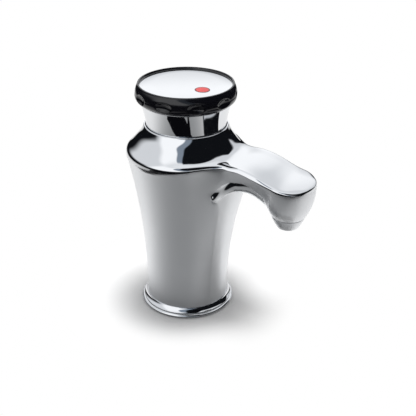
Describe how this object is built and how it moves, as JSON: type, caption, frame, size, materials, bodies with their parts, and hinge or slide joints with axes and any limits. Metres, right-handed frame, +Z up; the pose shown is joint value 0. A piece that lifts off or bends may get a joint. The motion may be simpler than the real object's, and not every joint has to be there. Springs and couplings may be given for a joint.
{
  "type": "boiling water tap",
  "caption": "Chromed single-post sink tap with a short hooked spout, a self-closing twist handle with a dimpled grip ring, and a threaded shank with clamp and pipe tails.",
  "frame": {"origin": "on the body's axis, at the worktop surface that the base ring and its gasket stand on", "axes": "+Z up along the body's axis, +X towards the spout"},
  "size_m": [0.122, 0.075, 0.2139],
  "materials": {
    "chrome": "polished chrome plate",
    "brass": "machined",
    "copper": "drawn copper tube",
    "steel": "plain stainless",
    "rubber": "moulded black rubber",
    "ceramic": "lapped white ceramic",
    "acetal": "natural acetal",
    "grip_black": "moulded gloss black",
    "marker_red": "gloss red insert"
  },
  "bodies": {
    "body": {"deck_gasket": "rubber", "base_ring": "chrome", "threaded_shank": "brass", "clamp_washer_rubber": "rubber", "clamp_washer_steel": "steel", "lock_nut": "brass", "body_casting": "chrome", "valve_manifold": "brass", "manifold_seal": "rubber", "flange_screws": "steel", "stop_pin": "steel", "cold_inlet_tail": "copper", "tank_feed_tail": "copper", "hot_return_tail": "copper", "tail_seals": "rubber", "delivery_tube": "acetal", "tube_seal": "rubber", "nozzle_ring": "chrome", "nozzle_oring": "rubber", "flow_straightener": "acetal", "seat_seals": "rubber", "fixed_disc": "ceramic", "cartridge_housing": "brass", "thrust_washer": "acetal", "retaining_nut": "brass", "return_spring": "steel", "slip_ring": "acetal"},
    "handle": {"moving_disc": "ceramic", "spindle": "brass", "spindle_orings": "rubber", "spindle_clip": "steel", "handle_hub": "acetal", "handle_screw": "steel", "handle_skirt": "chrome", "grip_ring": "grip_black", "skirt_screws": "steel", "top_plate": "chrome", "red_dot": "marker_red"}
  },
  "joints": [
    {"name": "handle_turn", "type": "hinge", "parent": "body", "child": "handle", "pos_m": [0, 0, 0.13], "axis": [0, 0, 1], "range_deg": [0, 75], "stiffness_Nm_per_rad": 0.15, "springref_deg": -28.65, "deforming": ["return_spring"]}
  ]
}
